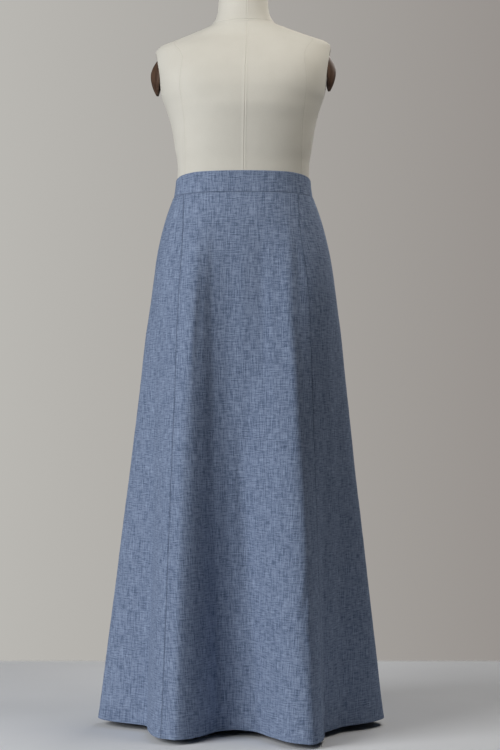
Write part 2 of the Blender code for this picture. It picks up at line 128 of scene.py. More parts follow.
# The dress form's level sections
FORM_SECTIONS = (
    # height, half width, depth in front, depth behind, squareness
    (0.700, 0.146, 0.101, 0.112, 2.10),
    (0.740, 0.157, 0.110, 0.124, 2.10),
    (0.800, 0.163, 0.116, 0.131, 2.10),
    (0.850, 0.160, 0.116, 0.129, 2.12),
    (0.900, 0.151, 0.109, 0.118, 2.18),
    (0.950, 0.1385, 0.101, 0.105, 2.25),
    (0.990, 0.1302, 0.0958, 0.0952, 2.30),
    (1.030, 0.1250, 0.0925, 0.0915, 2.30),
    (1.055, 0.1246, 0.0935, 0.0925, 2.30),
    (1.093, 0.1300, 0.1000, 0.0970, 2.30),
    (1.131, 0.1360, 0.1080, 0.1020, 2.30),
    (1.169, 0.1465, 0.1155, 0.1070, 2.35),
    (1.192, 0.1545, 0.1150, 0.1090, 2.50),
    (1.230, 0.1600, 0.1060, 0.1090, 2.80),
    (1.262, 0.1655, 0.0880, 0.1000, 2.60),
    (1.279, 0.1660, 0.0745, 0.0920, 2.40),
    (1.289, 0.1590, 0.0650, 0.0850, 2.25),
    (1.297, 0.1400, 0.0570, 0.0780, 2.10),
    (1.3075, 0.1120, 0.0500, 0.0720, 2.00),
    (1.319, 0.0820, 0.0460, 0.0660, 2.00),
    (1.330, 0.0590, 0.0440, 0.0610, 2.00),
    (1.353, 0.0480, 0.0440, 0.0560, 2.00),
    (1.390, 0.0455, 0.0445, 0.0530, 2.00),
)
SHOULDER_TILT = 0.03
TILT_BEGINS = (1.10, 1.25)
TILT_ENDS = (1.32, 1.38)

# Arm plates, neck cap and pole
PLATE_HEIGHT = 0.078
PLATE_DEPTH = 0.066
PLATE_DOME = 0.0165
PLATE_DOME_STEPS = (
    # share of the radius, share of the dome's height
    (1.00, 0.00),
    (0.76, 0.40),
    (0.50, 0.72),
    (0.26, 0.92),
    (0.08, 1.00),
)
PLATE_THICKNESS = 0.004
PLATE_ROUNDING = 0.0009
PLATE_PLACE = (0.1550, -0.002, 1.2355)
PLATE_TILT = math.radians(9)
PLATE_SIDES = 72
PLATE_RINGS = 14
RECESS_DEPTH = 0.006
RECESS_GAP = 0.0008
CAP_THICKNESS = 0.006
CAP_LIFT = 0.0003
CAP_ROUNDING = 0.0012
POLE_RADIUS = 0.0125
POLE_ROUNDING = 0.0008

# Panels, from one seam's bearing at the waist to the next, and how the cut is wide
PANELS = (
    # name, from, to, cut width at the waist, a quarter down, at the hem, held
    ("side_front_right", -90, -62, 0.065, 0.132, 0.258, "hung"),
    ("front_panel", -62, 56.5, 0.231, 0.266, 0.451, "hung"),
    ("side_front_left", 56.5, 90, 0.077, 0.147, 0.234, "hung"),
    ("side_back_left", 90, 120, 0.073, 0.126, 0.238, "gathered"),
    ("back_panel", 120, 240, 0.258, 0.303, 0.410, "gathered"),
    ("side_back_right", 240, 270, 0.074, 0.126, 0.233, "gathered"),
)
SEAM_BEARINGS = (-90, -62, 56.5, 90, 120, 240, 270)
CUT_LENGTH = 0.990
BANDS = (
    # name, from, to, cut width, cut height, held
    ("waistband_front", -90, 90, 0.388, 0.040, "hung"),
    ("waistband_back", 90, 270, 0.440, 0.032, "gathered"),
)

# Cloth
CLOTH = 0.0012
HEM_CLOTH = 0.0022
BAND_CLOTH = 0.0024
BAND_EASE = 0.0005
SEAM_GAP = 0.0001
SEAM_ROLL = 0.0008
HEM_DEPTH = 0.0115
HEM_STITCH = 0.0098
COLUMN_STEP = 0.0040
ROW_STEP = 0.0044
BAND_STEP = 0.0028
EDGE_STEPS = (0.0, 0.00022, 0.00050, 0.00085, 0.0014, 0.0026)
HEM_STEPS = (0.0, 0.00025, 0.00065, 0.0011, 0.0018, 0.0036, 0.0060, 0.0080, 0.0089, 0.0094, 0.0098,
             0.0102, 0.0107, 0.0116, 0.0128, 0.0150)

# Relief of the cloth: how much its seams hold it, and what lies or is drawn in under it
HELD_SHARE = 0.25
FREE_FROM = (0.01, 0.16)
ALLOWANCE = 0.00022
ALLOWANCE_EDGE = (0.0085, 0.0115)
TURN_UP = 0.00035
TURN_UP_EDGE = (HEM_STITCH + 0.0012, HEM_DEPTH + 0.0016)
STITCH_DRAW = 0.00042
STITCH_DRAW_WIDTH = 0.0008
PUCKER_AT_SEAM = 0.008
PUCKER_AT_HEM = 0.014
BAND_PUCKER_FALL = 8
CREASE_RIM = 0.45
EDGE_ROLL = 0.46
HEM_THINS = 0.002
# how far from a seam the linen's painted shade reaches
SEAM_SHADE = 0.0011
RIPPLES = {
    # depth, what sets its noise apart, size, stretch up and down
    "slack": (0.0007, 0, 0.042, 3.2),
    "crumple": (0.00022, 3, 0.013, 1.6),
    "pucker": (0.0003, 7, 0.009, 1.0),
    "band": (0.00016, 2, 0.016, 0.8),
    "band pucker": (0.00016, 7, 0.007, 1.0),
}

# Stitches of the hem
STITCH_LENGTH = 0.0026
STITCH_PITCH = 0.0031
STITCH_WIDTH = 0.00042
STITCH_MARGIN = 0.004
STITCH_SIDES = 6
STITCH_STATIONS = (
    # place along its length, share of the girth, lift in half widths
    (-0.5, 0.45, -0.9),
    (-0.36, 0.9, -0.15),
    (0.0, 1.0, 0.1),
    (0.36, 0.9, -0.15),
    (0.5, 0.45, -0.9),
)

# Linen
THREAD = 0.00055

# Camera, from the photo: the horizon lies a little below its middle
CAMERA_PLACE = (0.0, -3.51, 0.616)
CAMERA_LENS = 88.7
CAMERA_SHIFT = (0.0089, 0.0333)
FLOOR_HALF = 0.88
FLOOR_FADE = 0.06


def curve_slopes(x, y):
    """Slopes of a smooth curve through the points that never overshoots them."""
    step = np.diff(x)
    rise = np.diff(y) / step
    slopes = np.zeros(len(x))
    slopes[0], slopes[-1] = rise[0], rise[-1]
    for i in range(1, len(x) - 1):
        before, after = rise[i - 1], rise[i]
        if before * after > 0:
            w_before = 2 * step[i] + step[i - 1]
            w_after = step[i] + 2 * step[i - 1]
            slopes[i] = (w_before + w_after) / (w_before / before + w_after / after)
    return slopes


def read_curve(x, y, at):
    """Reads the smooth curve through (x, y) at the given places."""
    x, y, at = np.asarray(x, float), np.asarray(y, float), np.asarray(at, float)
    slopes = curve_slopes(x, y)
    at = np.clip(at, x[0], x[-1])
    i = np.clip(np.searchsorted(x, at, side="right") - 1, 0, len(x) - 2)
    width = x[i + 1] - x[i]
    t = (at - x[i]) / width
    return (
        y[i] * (1 + 2 * t) * (1 - t) ** 2
        + y[i + 1] * t * t * (3 - 2 * t)
        + slopes[i] * width * t * (1 - t) ** 2
        - slopes[i + 1] * width * t * t * (1 - t)
    )


def read_table(table, column, at):
    """Reads one column of a table of rows along its first column."""
    columns = np.array(table, float).T
    return read_curve(columns[0], columns[column], at)


def smooth_step(value, low, high):
    t = np.clip((value - low) / (high - low), 0, 1)
    return t * t * (3 - 2 * t)


def section(table, height):
    """Half width, front depth, back depth and squareness of a section table at a height."""
    return [read_table(table, column, height) for column in (1, 2, 3, 4)]


def ring_radius(bearing, half_width, front, back, squareness):
    """Distance from the pole to a rounded section, at a bearing in degrees."""
    across, along = np.sin(np.radians(bearing)), np.cos(np.radians(bearing))
    depth = np.where(along > 0, front, back)
    return (
        np.abs(across / half_width) ** squareness + np.abs(along / depth) ** squareness
    ) ** (-1 / squareness)


def at_bearing(radius, bearing, height):
    """Points at a distance from the pole, a bearing in degrees and a height."""
    a = np.radians(bearing)
    return np.stack([radius * np.sin(a), -radius * np.cos(a), height + 0 * a], -1)


def read_folds(column, waist_bearing):
    """Reads a named column of the table of folds at a bearing at the waist, right round."""
    index = ("at waist", "at hips", "at hem", "hip lift", "reach", "hem height").index(column)
    full_turn = np.array([360, 360, 360, 0, 0, 0])
    rows = np.array([row[1:] for row in FOLDS], float)
    rows = np.vstack([rows[-1:] - full_turn, rows, rows[:3] + full_turn])
    wrapped = (np.asarray(waist_bearing, float) + 180) % 360 - 180
    turns = (np.asarray(waist_bearing, float) - wrapped) / 360
    return read_curve(rows[:, 0], rows[:, index], wrapped) + full_turn[index] * turns


def away_from_front(waist_bearing):
    """The bearing folded on to 0 at the front to 180 at the back."""
    return np.abs((np.asarray(waist_bearing, float) + 180) % 360 - 180)


def seam_height(waist_bearing):
    return read_table(BAND_EDGES, 1, away_from_front(waist_bearing))


def top_height(waist_bearing):
    return read_table(BAND_EDGES, 2, away_from_front(waist_bearing))


def gather_beat(waist_bearing):
    """The phase of the gathers, one turn of it for each."""
    return 2 * math.pi * GATHERS * ((np.asarray(waist_bearing, float) - 90) % 360) / 180


def gather(waist_bearing, depth):
    """How far the gathers of the back stand out where they are full, at a bearing."""
    shown = smooth_step(away_from_front(waist_bearing), *GATHERS_BEGIN)
    beat = gather_beat(waist_bearing)
    uneven = 1 - GATHER_UNEVEN * (1 + np.sin(0.85 * beat + 0.8) * np.sin(0.31 * beat + 2.1))
    return depth * uneven * shown * (1 - np.cos(beat)) / 2


def gather_on_cloth(waist_bearing, drop):
    """The gathers at a drop below the seam: held at the band, full just below, then fading."""
    fall = GATHER_FALL * (1 + GATHER_FALL_UNEVEN * np.sin(0.43 * gather_beat(waist_bearing) + 1.3))
    held = GATHER_AT_SEAM + (1 - GATHER_AT_SEAM) * smooth_step(drop, 0, GATHER_FULL_AT)
    return gather(waist_bearing, GATHER_DEPTH) * held * np.exp(-drop / fall)


def ruching(waist_bearing):
    """Small ripples that the elastic draws up between the gathers."""
    beat = gather_beat(waist_bearing)
    ripples = RUCHING_DEPTH * np.sin(RUCHES_PER_GATHER * beat + 1.4 * np.sin(0.37 * beat))
    return ripples * smooth_step(away_from_front(waist_bearing), *RUCHING_BEGINS)


def cloth_point(waist_bearing, share):
    """A point of the skirt's outside, before its small creases."""
    u, share = np.broadcast_arrays(np.asarray(waist_bearing, float), share)
    seam, hem = seam_height(u), read_folds("hem height", u)
    height = seam + (hem - seam) * share
    hip_height = CLOTH_SECTIONS[0][0]
    hip_bearing = read_folds("at hips", u)
    above_hips = np.clip((height - hip_height) / (seam - hip_height), 0, 1)
    bearing = hip_bearing + (u - hip_bearing) * above_hips**HIP_EASE
    sizes = section(CLOTH_SECTIONS, np.maximum(height, hip_height))
    lift = read_folds("hip lift", u)
    lifted = lift * (1 - smooth_step(height, LIFT_FULL_AT, LIFT_FROM))
    radius = ring_radius(bearing, *sizes) + gather_on_cloth(u, seam - height) + lifted
    on_body = at_bearing(radius, bearing, height)
    hip_ring = ring_radius(hip_bearing, *section(CLOTH_SECTIONS, hip_height)) + lift
    at_hip = at_bearing(hip_ring, hip_bearing, height)
    at_hem = at_bearing(read_folds("reach", u), read_folds("at hem", u), height)
    fallen = np.clip((FOLDS_BEGIN - height) / (FOLDS_BEGIN - hem), 0, 1)
    run = ((1 + FOLDS_EASE_IN) * fallen**2 / (fallen + FOLDS_EASE_IN)) ** FOLDS_FLARE
    return on_body + run[..., None] * (at_hem - at_hip)


def band_point(waist_bearing, share):
    """A point of the waistband's outside, from its seam (0) to its top edge (1)."""
    u, share = np.broadcast_arrays(np.asarray(waist_bearing, float), share)
    height = seam_height(u) + (top_height(u) - seam_height(u)) * share
    half_width, front, back, squareness = section(FORM_SECTIONS, height)
    grown = BAND_EASE + BAND_CLOTH
    radius = ring_radius(u, half_width + grown, front + grown, back + grown, squareness)
    return at_bearing(radius + gather(u, GATHER_DEPTH_BAND), u, height)


def directions(surface, u, share):
    """Unit directions out of the cloth and along it, by small steps on the surface."""
    step_u, step_share = 0.02, 0.0005
    along = surface(u + step_u, share) - surface(u - step_u, share)
    down = surface(u, share + step_share) - surface(u, share - step_share)
    out = np.cross(down, along)
    out *= np.sign((out * surface(u, share) * [1, 1, 0]).sum(-1))[..., None]
    along /= np.linalg.norm(along, axis=-1)[..., None]
    return out / np.linalg.norm(out, axis=-1)[..., None], along


class Unrolled:
    """A surface laid flat row by row: metres of cloth along a row, from bearing 0."""

    def __init__(self, surface, first, last, step, rows):
        self.bearings = np.arange(first, last + step / 2, step)
        self.shares = np.linspace(0, 1, rows)
        points = surface(*np.meshgrid(self.bearings, self.shares))
        steps = np.linalg.norm(np.diff(points, axis=1), axis=-1)
        runs = np.hstack([np.zeros((rows, 1)), np.cumsum(steps, axis=1)])
        self.runs = runs - runs[:, [np.argmin(np.abs(self.bearings))]]

    def row(self, share):
        """Metres along the row at a share, for each of the bearings."""
        place = np.clip(share, 0, 1) * (len(self.shares) - 1)
        i = min(int(place), len(self.shares) - 2)
        return self.runs[i] + (self.runs[i + 1] - self.runs[i]) * (place - i)

    def run(self, bearing, share):
        """Metres along the row from bearing 0, for arrays of bearings and shares."""
        share, bearing = np.broadcast_arrays(np.asarray(share, float), bearing)
        place = np.clip(share, 0, 1) * (len(self.shares) - 1)
        i = np.minimum(place.astype(int), len(self.shares) - 2)
        across = (bearing - self.bearings[0]) / (self.bearings[1] - self.bearings[0])
        j = np.clip(across.astype(int), 0, len(self.bearings) - 2)
        f, g = place - i, across - j
        upper = self.runs[i, j] * (1 - g) + self.runs[i, j + 1] * g
        lower = self.runs[i + 1, j] * (1 - g) + self.runs[i + 1, j + 1] * g
        return upper * (1 - f) + lower * f


CLOTH_FLAT = Unrolled(cloth_point, -100, 280, 0.25, 161)
BAND_FLAT = Unrolled(band_point, -100, 280, 0.25, 9)

# Creases: where each begins and ends, how far its middle bows aside, where along it it is
# deepest, its half width and how far it stands out (or sinks, if negative)
CREASES = (
    # name, bearing, share, bearing, share, bow, peak, half width, height
    ("front rise, high", 1, 0.02, 0, 0.42, 0.002, 0.45, 0.0150, 0.0016),
    ("front dip, high", 18, 0.02, 13, 0.44, -0.002, 0.40, 0.0140, -0.0023),
    ("left crest, top", 45, 0.02, 40, 0.24, 0.001, 0.50, 0.0120, 0.0022),
    ("left crest, shoulder", 39, 0.12, 38.5, 0.54, 0.001, 0.55, 0.0120, 0.0028),
    ("left crest, edge", 40.5, 0.38, 39, 0.82, 0.001, 0.50, 0.0110, 0.0030),
    ("left crest kink, upper", 40.2, 0.700, 35.2, 0.800, 0.003, 0.60, 0.0075, -0.0026),
    ("left crest kink, lower", 33.5, 0.795, 36.5, 0.890, -0.003, 0.40, 0.0080, -0.0022),
    ("left crest, small", 38, 0.690, 35, 0.790, 0.002, 0.50, 0.0045, 0.0011),
    ("right crest, edge", -40, 0.05, -45, 0.40, 0.001, 0.55, 0.0085, 0.0022),
    ("right flank, broad", -22, 0.34, -24, 0.84, 0.002, 0.50, 0.0180, 0.0032),
    ("front valley, broad", -3, 0.34, -3.5, 0.86, 0.002, 0.55, 0.0165, -0.0046),
    ("front valley, edge", -6.5, 0.40, -7, 0.76, 0.001, 0.45, 0.0070, -0.0013),
    ("front small", 0.8, 0.430, 2.8, 0.465, 0.001, 0.50, 0.0035, -0.0009),
    ("left side dip", 67, 0.30, 63, 0.86, 0.003, 0.40, 0.0160, -0.0022),
    ("right side dip", -72, 0.38, -74, 0.90, -0.002, 0.55, 0.0180, -0.0016),
    ("left back rise", 104, 0.22, 108, 0.74, 0.003, 0.50, 0.0170, 0.0026),
    ("left back edge", 133, 0.30, 136, 0.88, -0.002, 0.40, 0.0110, 0.0030),
    ("left back kink", 139, 0.640, 131, 0.760, 0.003, 0.60, 0.0080, -0.0026),
    ("back dip", 166, 0.26, 169, 0.80, 0.003, 0.55, 0.0190, -0.0030),
    ("back small", 186, 0.480, 189, 0.540, 0.001, 0.50, 0.0045, -0.0010),
    ("back rise", 199, 0.34, 203, 0.92, -0.002, 0.45, 0.0160, 0.0028),
    ("right back edge", 226, 0.20, 222, 0.70, 0.002, 0.55, 0.0120, 0.0024),
    ("right back kink", 229, 0.700, 223, 0.810, -0.002, 0.45, 0.0080, -0.0022),
    ("right back dip", 253, 0.32, 250, 0.78, 0.003, 0.50, 0.0170, -0.0024),
)


def crease_relief(run, drop):
    """How far the creases raise the cloth at places on the unrolled skirt."""
    relief = np.zeros(run.shape)
    for _, from_bearing, from_share, to_bearing, to_share, bow, peak, half_width, height in CREASES:
        start = np.array([CLOTH_FLAT.run(from_bearing, from_share), from_share * CUT_LENGTH], float)
        end = np.array([CLOTH_FLAT.run(to_bearing, to_share), to_share * CUT_LENGTH], float)
        length = np.linalg.norm(end - start)
        ahead = (end - start) / length
        x, y = run - start[0], drop - start[1]
        along = (x * ahead[0] + y * ahead[1]) / length
        aside = y * ahead[0] - x * ahead[1] - bow * 4 * along * (1 - along)
        rise = np.clip(np.where(along < peak, along / peak, (1 - along) / (1 - peak)), 0, 1)
        off = (aside / half_width) ** 2
        relief += height * rise * rise * (3 - 2 * rise) * (1 - CREASE_RIM * off) * np.exp(-off)
    return relief


def ripple(points, kind):
    """How far one kind of unevenness raises or sinks the cloth at each point."""
    depth, shift, size, stretch = RIPPLES[kind]
    scaled = (points + shift).reshape(-1, 3) / [size, size, size * stretch]
    lumps = np.array([noise.noise(Vector(p)) for p in scaled.tolist()])
    return depth * lumps.reshape(points.shape[:-1])


def seam_distance(run, share):
    """Metres to the nearest long seam, along a row."""
    distances = [np.abs(run - CLOTH_FLAT.run(seam, share)) for seam in SEAM_BEARINGS]
    return np.minimum.reduce(distances)


def cloth_relief(points, u, share):
    """How far creases, seams, gathers and the hem raise the cloth at its points."""
    run, drop = CLOTH_FLAT.run(u, share), share * CUT_LENGTH
    to_seam, to_hem = seam_distance(run, share), CUT_LENGTH - drop
    free = HELD_SHARE + (1 - HELD_SHARE) * smooth_step(drop, *FREE_FROM)
    uneven = ripple(points, "slack") + ripple(points, "crumple")
    allowance = ALLOWANCE * (1 - smooth_step(to_seam, *ALLOWANCE_EDGE))
    turn_up = TURN_UP * (1 - smooth_step(to_hem, *TURN_UP_EDGE))
    stitched = STITCH_DRAW * np.exp(-(((to_hem - HEM_STITCH) / STITCH_DRAW_WIDTH) ** 2))
    near_edge = np.exp(-to_seam / PUCKER_AT_SEAM) + np.exp(-to_hem / PUCKER_AT_HEM)
    ruched = ruching(u) * np.exp(-drop / RUCHING_FALL)
    return (
        crease_relief(run, drop)
        + uneven * free
        + ripple(points, "pucker") * near_edge
        + allowance * free
        + turn_up
        - stitched
        + ruched
    )


def band_relief(points, u, share):
    """The band's small unevenness, its drawn-in seam and the ruching behind."""
    pucker = ripple(points, "band pucker") * np.exp(-share * BAND_PUCKER_FALL)
    return ripple(points, "band") + pucker + ruching(u)


def rolled_in(distance, radius):
    """How far a cloth edge has rolled in at a distance from its seam line."""
    t = np.clip(1 - distance / radius, 0, 1)
    return radius * (1 - np.sqrt(1 - t * t))


def quads(grid):
    """Faces between the rows and columns of a grid of vertex numbers."""
    return np.stack([grid[:-1, :-1], grid[1:, :-1], grid[1:, 1:], grid[:-1, 1:]], -1).reshape(-1, 4)


def finish_mesh(name, points, faces, sharp=50):
    """A smooth-shaded object from points and faces."""
    data = bpy.data.meshes.new(name)
    data.from_pydata(points.tolist(), [], [list(face) for face in faces])
    data.validate()
    data.shade_smooth()
    data.set_sharp_from_angle(angle=math.radians(sharp))
    made = bpy.data.objects.new(name, data)
    bpy.context.scene.collection.objects.link(made)
    return made


def set_attribute(piece, name, values):
    """Stores a number at each vertex, for a material to read."""
    attribute = piece.data.attributes.new(name, "FLOAT", "POINT")
    attribute.data.foreach_set("value", np.asarray(values, np.float32).ravel())


def set_uv(piece, uv):
    """Stores each vertex's place on the flat cut, in metres."""
    vertex = np.empty(len(piece.data.loops), np.int32)
    piece.data.loops.foreach_get("vertex_index", vertex)
    layer = piece.data.uv_layers.new(name="cloth")
    layer.uv.foreach_set("vector", uv.reshape(-1, 2)[vertex].astype(np.float32).ravel())


def shell(name, outer, inner, uv, painted_seam_shade):
    """A closed shell of cloth from its outer and inner grids of points."""
    rows, columns = outer.shape[:2]
    front = np.arange(rows * columns).reshape(rows, columns)
    back = front + rows * columns
    faces = np.concatenate([
        quads(front),
        quads(back[:, ::-1]),
        quads(np.stack([back[0], front[0]])),
        quads(np.stack([front[-1], back[-1]])),
        quads(np.stack([front[:, 0], back[:, 0]])),
        quads(np.stack([back[:, -1], front[:, -1]])),
    ])
    points = np.concatenate([outer.reshape(-1, 3), inner.reshape(-1, 3)])
    piece = finish_mesh(name, points, faces.tolist())
    set_uv(piece, np.concatenate([uv.reshape(-1, 2)] * 2))
    # painted shade along the seams, stored for the linen's colour to read
    set_attribute(piece, "seam", np.concatenate([painted_seam_shade.ravel()] * 2))
    return piece


def edge_to_edge(width, step, count=None):
    """Places across a width: close together at both edges, evenly spaced between them."""
    edge = np.array(EDGE_STEPS)
    count = count or max(1, round((width - 2 * edge[-1]) / step))
    middle = np.linspace(edge[-1], width - edge[-1], count + 1)[1:-1]
    return np.concatenate([edge, middle, width - edge[::-1]])


def panel_grid(start, end):
    """Bearings, shares, places across and widths of a panel's grid of points."""
    hem_width = CLOTH_FLAT.run(end, 1.0) - CLOTH_FLAT.run(start, 1.0)
    count = round(float(hem_width) / COLUMN_STEP)
    top, hem = np.array(EDGE_STEPS), np.array(HEM_STEPS)
    rows = round((CUT_LENGTH - top[-1] - hem[-1]) / ROW_STEP)
    middle = np.linspace(top[-1], CUT_LENGTH - hem[-1], rows + 1)[1:-1]
    shares = np.concatenate([top, middle, CUT_LENGTH - hem[::-1]]) / CUT_LENGTH
    bearings, places, widths = [], [], []
    for share in shares:
        row = CLOTH_FLAT.row(share)
        left, right = np.interp([start, end], CLOTH_FLAT.bearings, row)
        across = edge_to_edge(right - left - SEAM_GAP, COLUMN_STEP, count)
        bearings.append(np.interp(left + SEAM_GAP / 2 + across, row, CLOTH_FLAT.bearings))
        places.append(across)
        widths.append(right - left - SEAM_GAP)
    u, across = np.array(bearings), np.array(places)
    return u, np.repeat(shares[:, None], u.shape[1], 1), across, np.array(widths)[:, None]


def sew_panel(name, start, end):
    """A panel's shell: rolled in at its seams, turned up at the hem, creased all over."""
    u, share, across, width = panel_grid(start, end)
    points = cloth_point(u, share)
    out, _ = directions(cloth_point, u, share)
    relief = cloth_relief(points, u, share)
    drop = share * CUT_LENGTH
    to_hem, to_side = CUT_LENGTH - drop, np.minimum(across, width - across)
    turned_up = 1 - smooth_step(to_hem, HEM_DEPTH, HEM_DEPTH + HEM_THINS)
    thickness = CLOTH + (HEM_CLOTH - CLOTH) * turned_up
    hem_round = rolled_in(to_hem, HEM_CLOTH * EDGE_ROLL)
    sunk = rolled_in(to_side, SEAM_ROLL) + rolled_in(drop, SEAM_ROLL) + hem_round
    sunk = np.minimum(sunk, thickness - hem_round - SEAM_GAP)
    outer = points + out * (relief - sunk)[..., None]
    inner = points + out * (relief - thickness + hem_round)[..., None]
    middle = (start + end) / 2
    flat = np.stack([CLOTH_FLAT.run(u, share) - CLOTH_FLAT.run(middle, share), drop], -1)
    # painted shade: the linen is darkened along its seams, as if shadowed in their ditch
    near = np.exp(-np.minimum(to_side, drop) / SEAM_SHADE)
    return shell(f"{name}_cloth", outer, inner, flat, near)


def sew_band(name, start, end):
    """A waistband's shell, folded over at the top and sewn to the panels below."""
    width = float(BAND_FLAT.run(end, 0.5) - BAND_FLAT.run(start, 0.5)) - SEAM_GAP
    height = BAND_EDGES[0][2] - BAND_EDGES[0][1]
    across = edge_to_edge(width, BAND_STEP)
    shares = edge_to_edge(height, BAND_STEP) / height
    row = BAND_FLAT.row(0.5)
    left = np.interp(start, BAND_FLAT.bearings, row)
    u, share = np.meshgrid(
        np.interp(left + SEAM_GAP / 2 + across, row, BAND_FLAT.bearings), shares[::-1]
    )
    points = band_point(u, share)
    out, _ = directions(band_point, u, share)
    relief = band_relief(points, u, share)
    to_side = np.minimum(across, width - across)[None, :] + 0 * u
    to_seam, to_top = share * height, (1 - share) * height
    fold = rolled_in(to_top, BAND_CLOTH * EDGE_ROLL)
    sunk = rolled_in(to_side, SEAM_ROLL) + rolled_in(to_seam, SEAM_ROLL) + fold
    sunk = np.minimum(sunk, BAND_CLOTH - fold - SEAM_GAP)
    outer = points + out * (relief - sunk)[..., None]
    inner = points + out * (np.minimum(relief, 0) - BAND_CLOTH + fold)[..., None]
    flat = np.stack([BAND_FLAT.run(u, share), to_top], -1)
    # painted shade: the band is darkened along its seams, as if shadowed in their ditch
    near = np.exp(-np.minimum(to_side, to_seam) / SEAM_SHADE)
    return shell(f"{name}_cloth", outer, inner, flat, near)


def stitch_hem(name, start, end):
    """A row of short stitches that holds the turned-up hem of one panel."""
    share = 1 - HEM_STITCH / CUT_LENGTH
    row = CLOTH_FLAT.row(share)
    left, right = np.interp([start, end], CLOTH_FLAT.bearings, row)
    count = int((right - left - STITCH_MARGIN) / STITCH_PITCH)
    first = (right - left - (count - 1) * STITCH_PITCH) / 2
    places = left + first + STITCH_PITCH * np.arange(count)
    # each stitch is a short rod of six sides that dips into the cloth at both ends
    stations, sides = len(STITCH_STATIONS), STITCH_SIDES
    points, faces = [], []
    for place in places:
        first_vertex = len(points)
        for along, girth, lift in STITCH_STATIONS:
            bearing = np.interp(place + along * STITCH_LENGTH, row, CLOTH_FLAT.bearings)
            u, s = np.array([bearing]), np.array([share])
            base = cloth_point(u, s)
            out, ahead = directions(cloth_point, u, s)
            down = np.cross(ahead[0], out[0])
            centre = base[0] + out[0] * (cloth_relief(base, u, s)[0] + lift * STITCH_WIDTH / 2)
            for k in range(sides):
                a = 2 * math.pi * k / sides
                reach = girth * STITCH_WIDTH / 2
                points.append(centre + (math.cos(a) * down + math.sin(a) * out[0]) * reach)
        ring = first_vertex + np.arange(stations * sides).reshape(stations, sides)
        for here, there in zip(ring[:-1], ring[1:]):
            for k in range(sides):
                m = (k + 1) % sides
                faces.append([here[k], here[m], there[m], there[k]])
        faces.append(list(ring[0][::-1]))
        faces.append(list(ring[-1]))
    return finish_mesh(f"{name}_hem_stitches", np.array(points), faces, sharp=80)


# Seams of the form's cover, by height: bearings of the front's middle and of a side seam
COVER_SEAMS = (
    # height, front middle, side front, side back
    (0.700, 0.6, 66.0, 118.0),
    (1.040, 0.9, 64.5, 118.0),
    (1.110, 1.1, 58.5, 121.0),
    (1.170, 1.6, 54.0, 124.0),
    (1.225, 2.2, 52.5, 125.0),
    (1.250, 3.0, 54.5, 123.0),
    (1.268, 3.8, 60.0, 118.0),
    (1.284, 5.0, 69.0, 110.0),
    (1.300, 6.5, 79.0, 101.0),
    (1.330, 8.0, 86.0, 94.0),
    (1.390, 8.5, 88.0, 92.0),
)
NECK_SEAM = 1.3305
COVER_ROW_STEP = 0.0040
COVER_COLUMN_STEP = 0.0055
COVER_SEAM_STEPS = (0.0, 0.0004, 0.0009, 0.0015, 0.0022, 0.0031, 0.0044)
COVER_RIDGE_AT = 0.0019
COVER_RIDGE = 0.00042
COVER_RIDGE_WIDTH = 0.0011
COVER_DITCH = 0.00022
COVER_DITCH_WIDTH = 0.0006
COVER_SEAM_SHADE = 0.0008
NECK_SEAM_SHADE = 0.0007
COVER_COUNTED_AT = 1.170
COVER_RADIUS = 0.163
COVER_NARROW = 0.42


def shoulder_rise(x, height):
    """The form's left shoulder stands a little higher than its right one."""
    tilt = smooth_step(height, *TILT_BEGINS) * (1 - smooth_step(height, *TILT_ENDS))
    return SHOULDER_TILT * tilt * x


def cover_seams(height):
    """Bearings of the cover's seams right round, at a height, the first one repeated."""
    middle, front, back = (float(read_table(COVER_SEAMS, c, height)) for c in (1, 2, 3))
    return np.array([middle, front, back, 180, 360 - back, 360 - front, 360 + middle])


def cover_profile(distance):
    """A seam pressed open under the cover: two low ridges with a ditch between them."""
    ridges = COVER_RIDGE * np.exp(-(((distance - COVER_RIDGE_AT) / COVER_RIDGE_WIDTH) ** 2))
    return ridges - COVER_DITCH * np.exp(-((distance / COVER_DITCH_WIDTH) ** 2))


